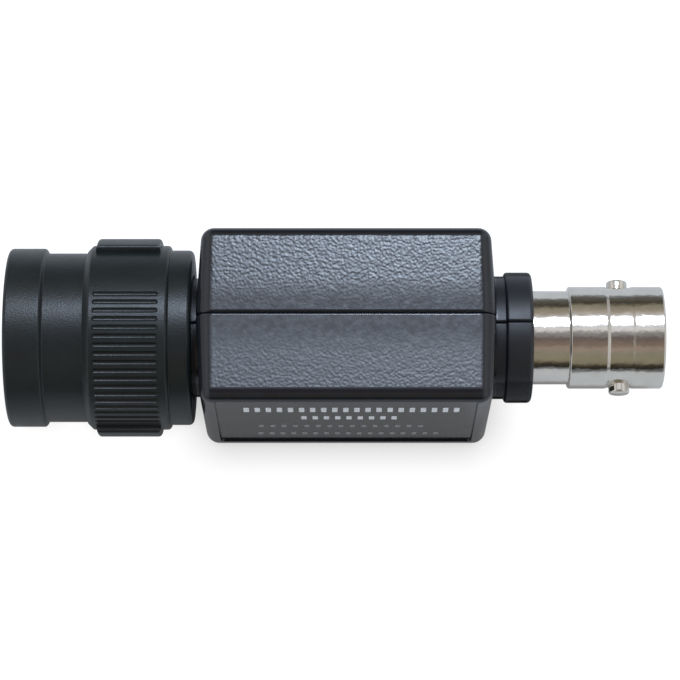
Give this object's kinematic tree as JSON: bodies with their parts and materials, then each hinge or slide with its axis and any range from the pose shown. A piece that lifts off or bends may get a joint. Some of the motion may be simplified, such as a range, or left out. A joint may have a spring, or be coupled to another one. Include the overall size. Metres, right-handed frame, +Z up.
{
  "type": "oscilloscope attenuator",
  "caption": "In-line coaxial attenuator: insulated bayonet plug with a turning locking sleeve, two-shell plastic box with a divider board, and a nickel-plated bayonet socket.",
  "frame": {"origin": "centre of the whole part's box, which lies on the connector axis", "axes": "+X along the connector axis towards the socket, -Y out of the label face, +Z up, away from the side face that the part lies on"},
  "size_m": [0.0612, 0.0186, 0.0188],
  "materials": {
    "moulded_black": "moulded plastic, spark-eroded texture on the side faces",
    "sleeve_black": "moulded plastic, fine satin",
    "nickel": "bright nickel plate on turned brass",
    "spring_steel": "plain spring steel",
    "gasket_rubber": "moulded silicone rubber",
    "contact_gold": "gold flash on turned brass",
    "insulator_white": "turned white fluoropolymer",
    "board_green": "glass-fibre laminate with solder mask",
    "resistor_blue": "dipped lacquer",
    "ceramic_orange": "dipped epoxy",
    "tinplate": "tinned sheet"
  },
  "bodies": {
    "housing": {"label_shell": "moulded_black", "back_shell": "moulded_black", "wave_spring": "spring_steel", "plug_body": "nickel", "plug_gasket": "gasket_rubber", "outer_contact": "contact_gold", "plug_insulator": "insulator_white", "centre_pin": "contact_gold", "plug_plate": "nickel", "socket_shell": "nickel", "bayonet_pins": "nickel", "socket_insulator": "insulator_white", "socket_contact": "contact_gold", "circuit_board": "board_green", "series_resistor": "resistor_blue", "series_capacitor": "ceramic_orange", "shunt_resistor": "resistor_blue", "shunt_capacitor": "ceramic_orange", "screen_can": "tinplate", "plug_earth_links": "tinplate", "socket_earth_links": "tinplate"},
    "washer": {"thrust_washer": "spring_steel"},
    "sleeve": {"locking_sleeve": "sleeve_black", "bayonet_ring": "nickel"}
  },
  "joints": [
    {"name": "sleeve_float", "type": "slide", "parent": "housing", "child": "washer", "axis": [-1, 0, 0], "range_m": [0, 0.00075], "stiffness_N_per_m": 3000, "springref_m": -0.0005, "deforming": ["wave_spring"]},
    {"name": "sleeve_spin", "type": "hinge", "parent": "washer", "child": "sleeve", "pos_m": [0, 0, 0], "axis": [1, 0, 0], "continuous": true}
  ]
}
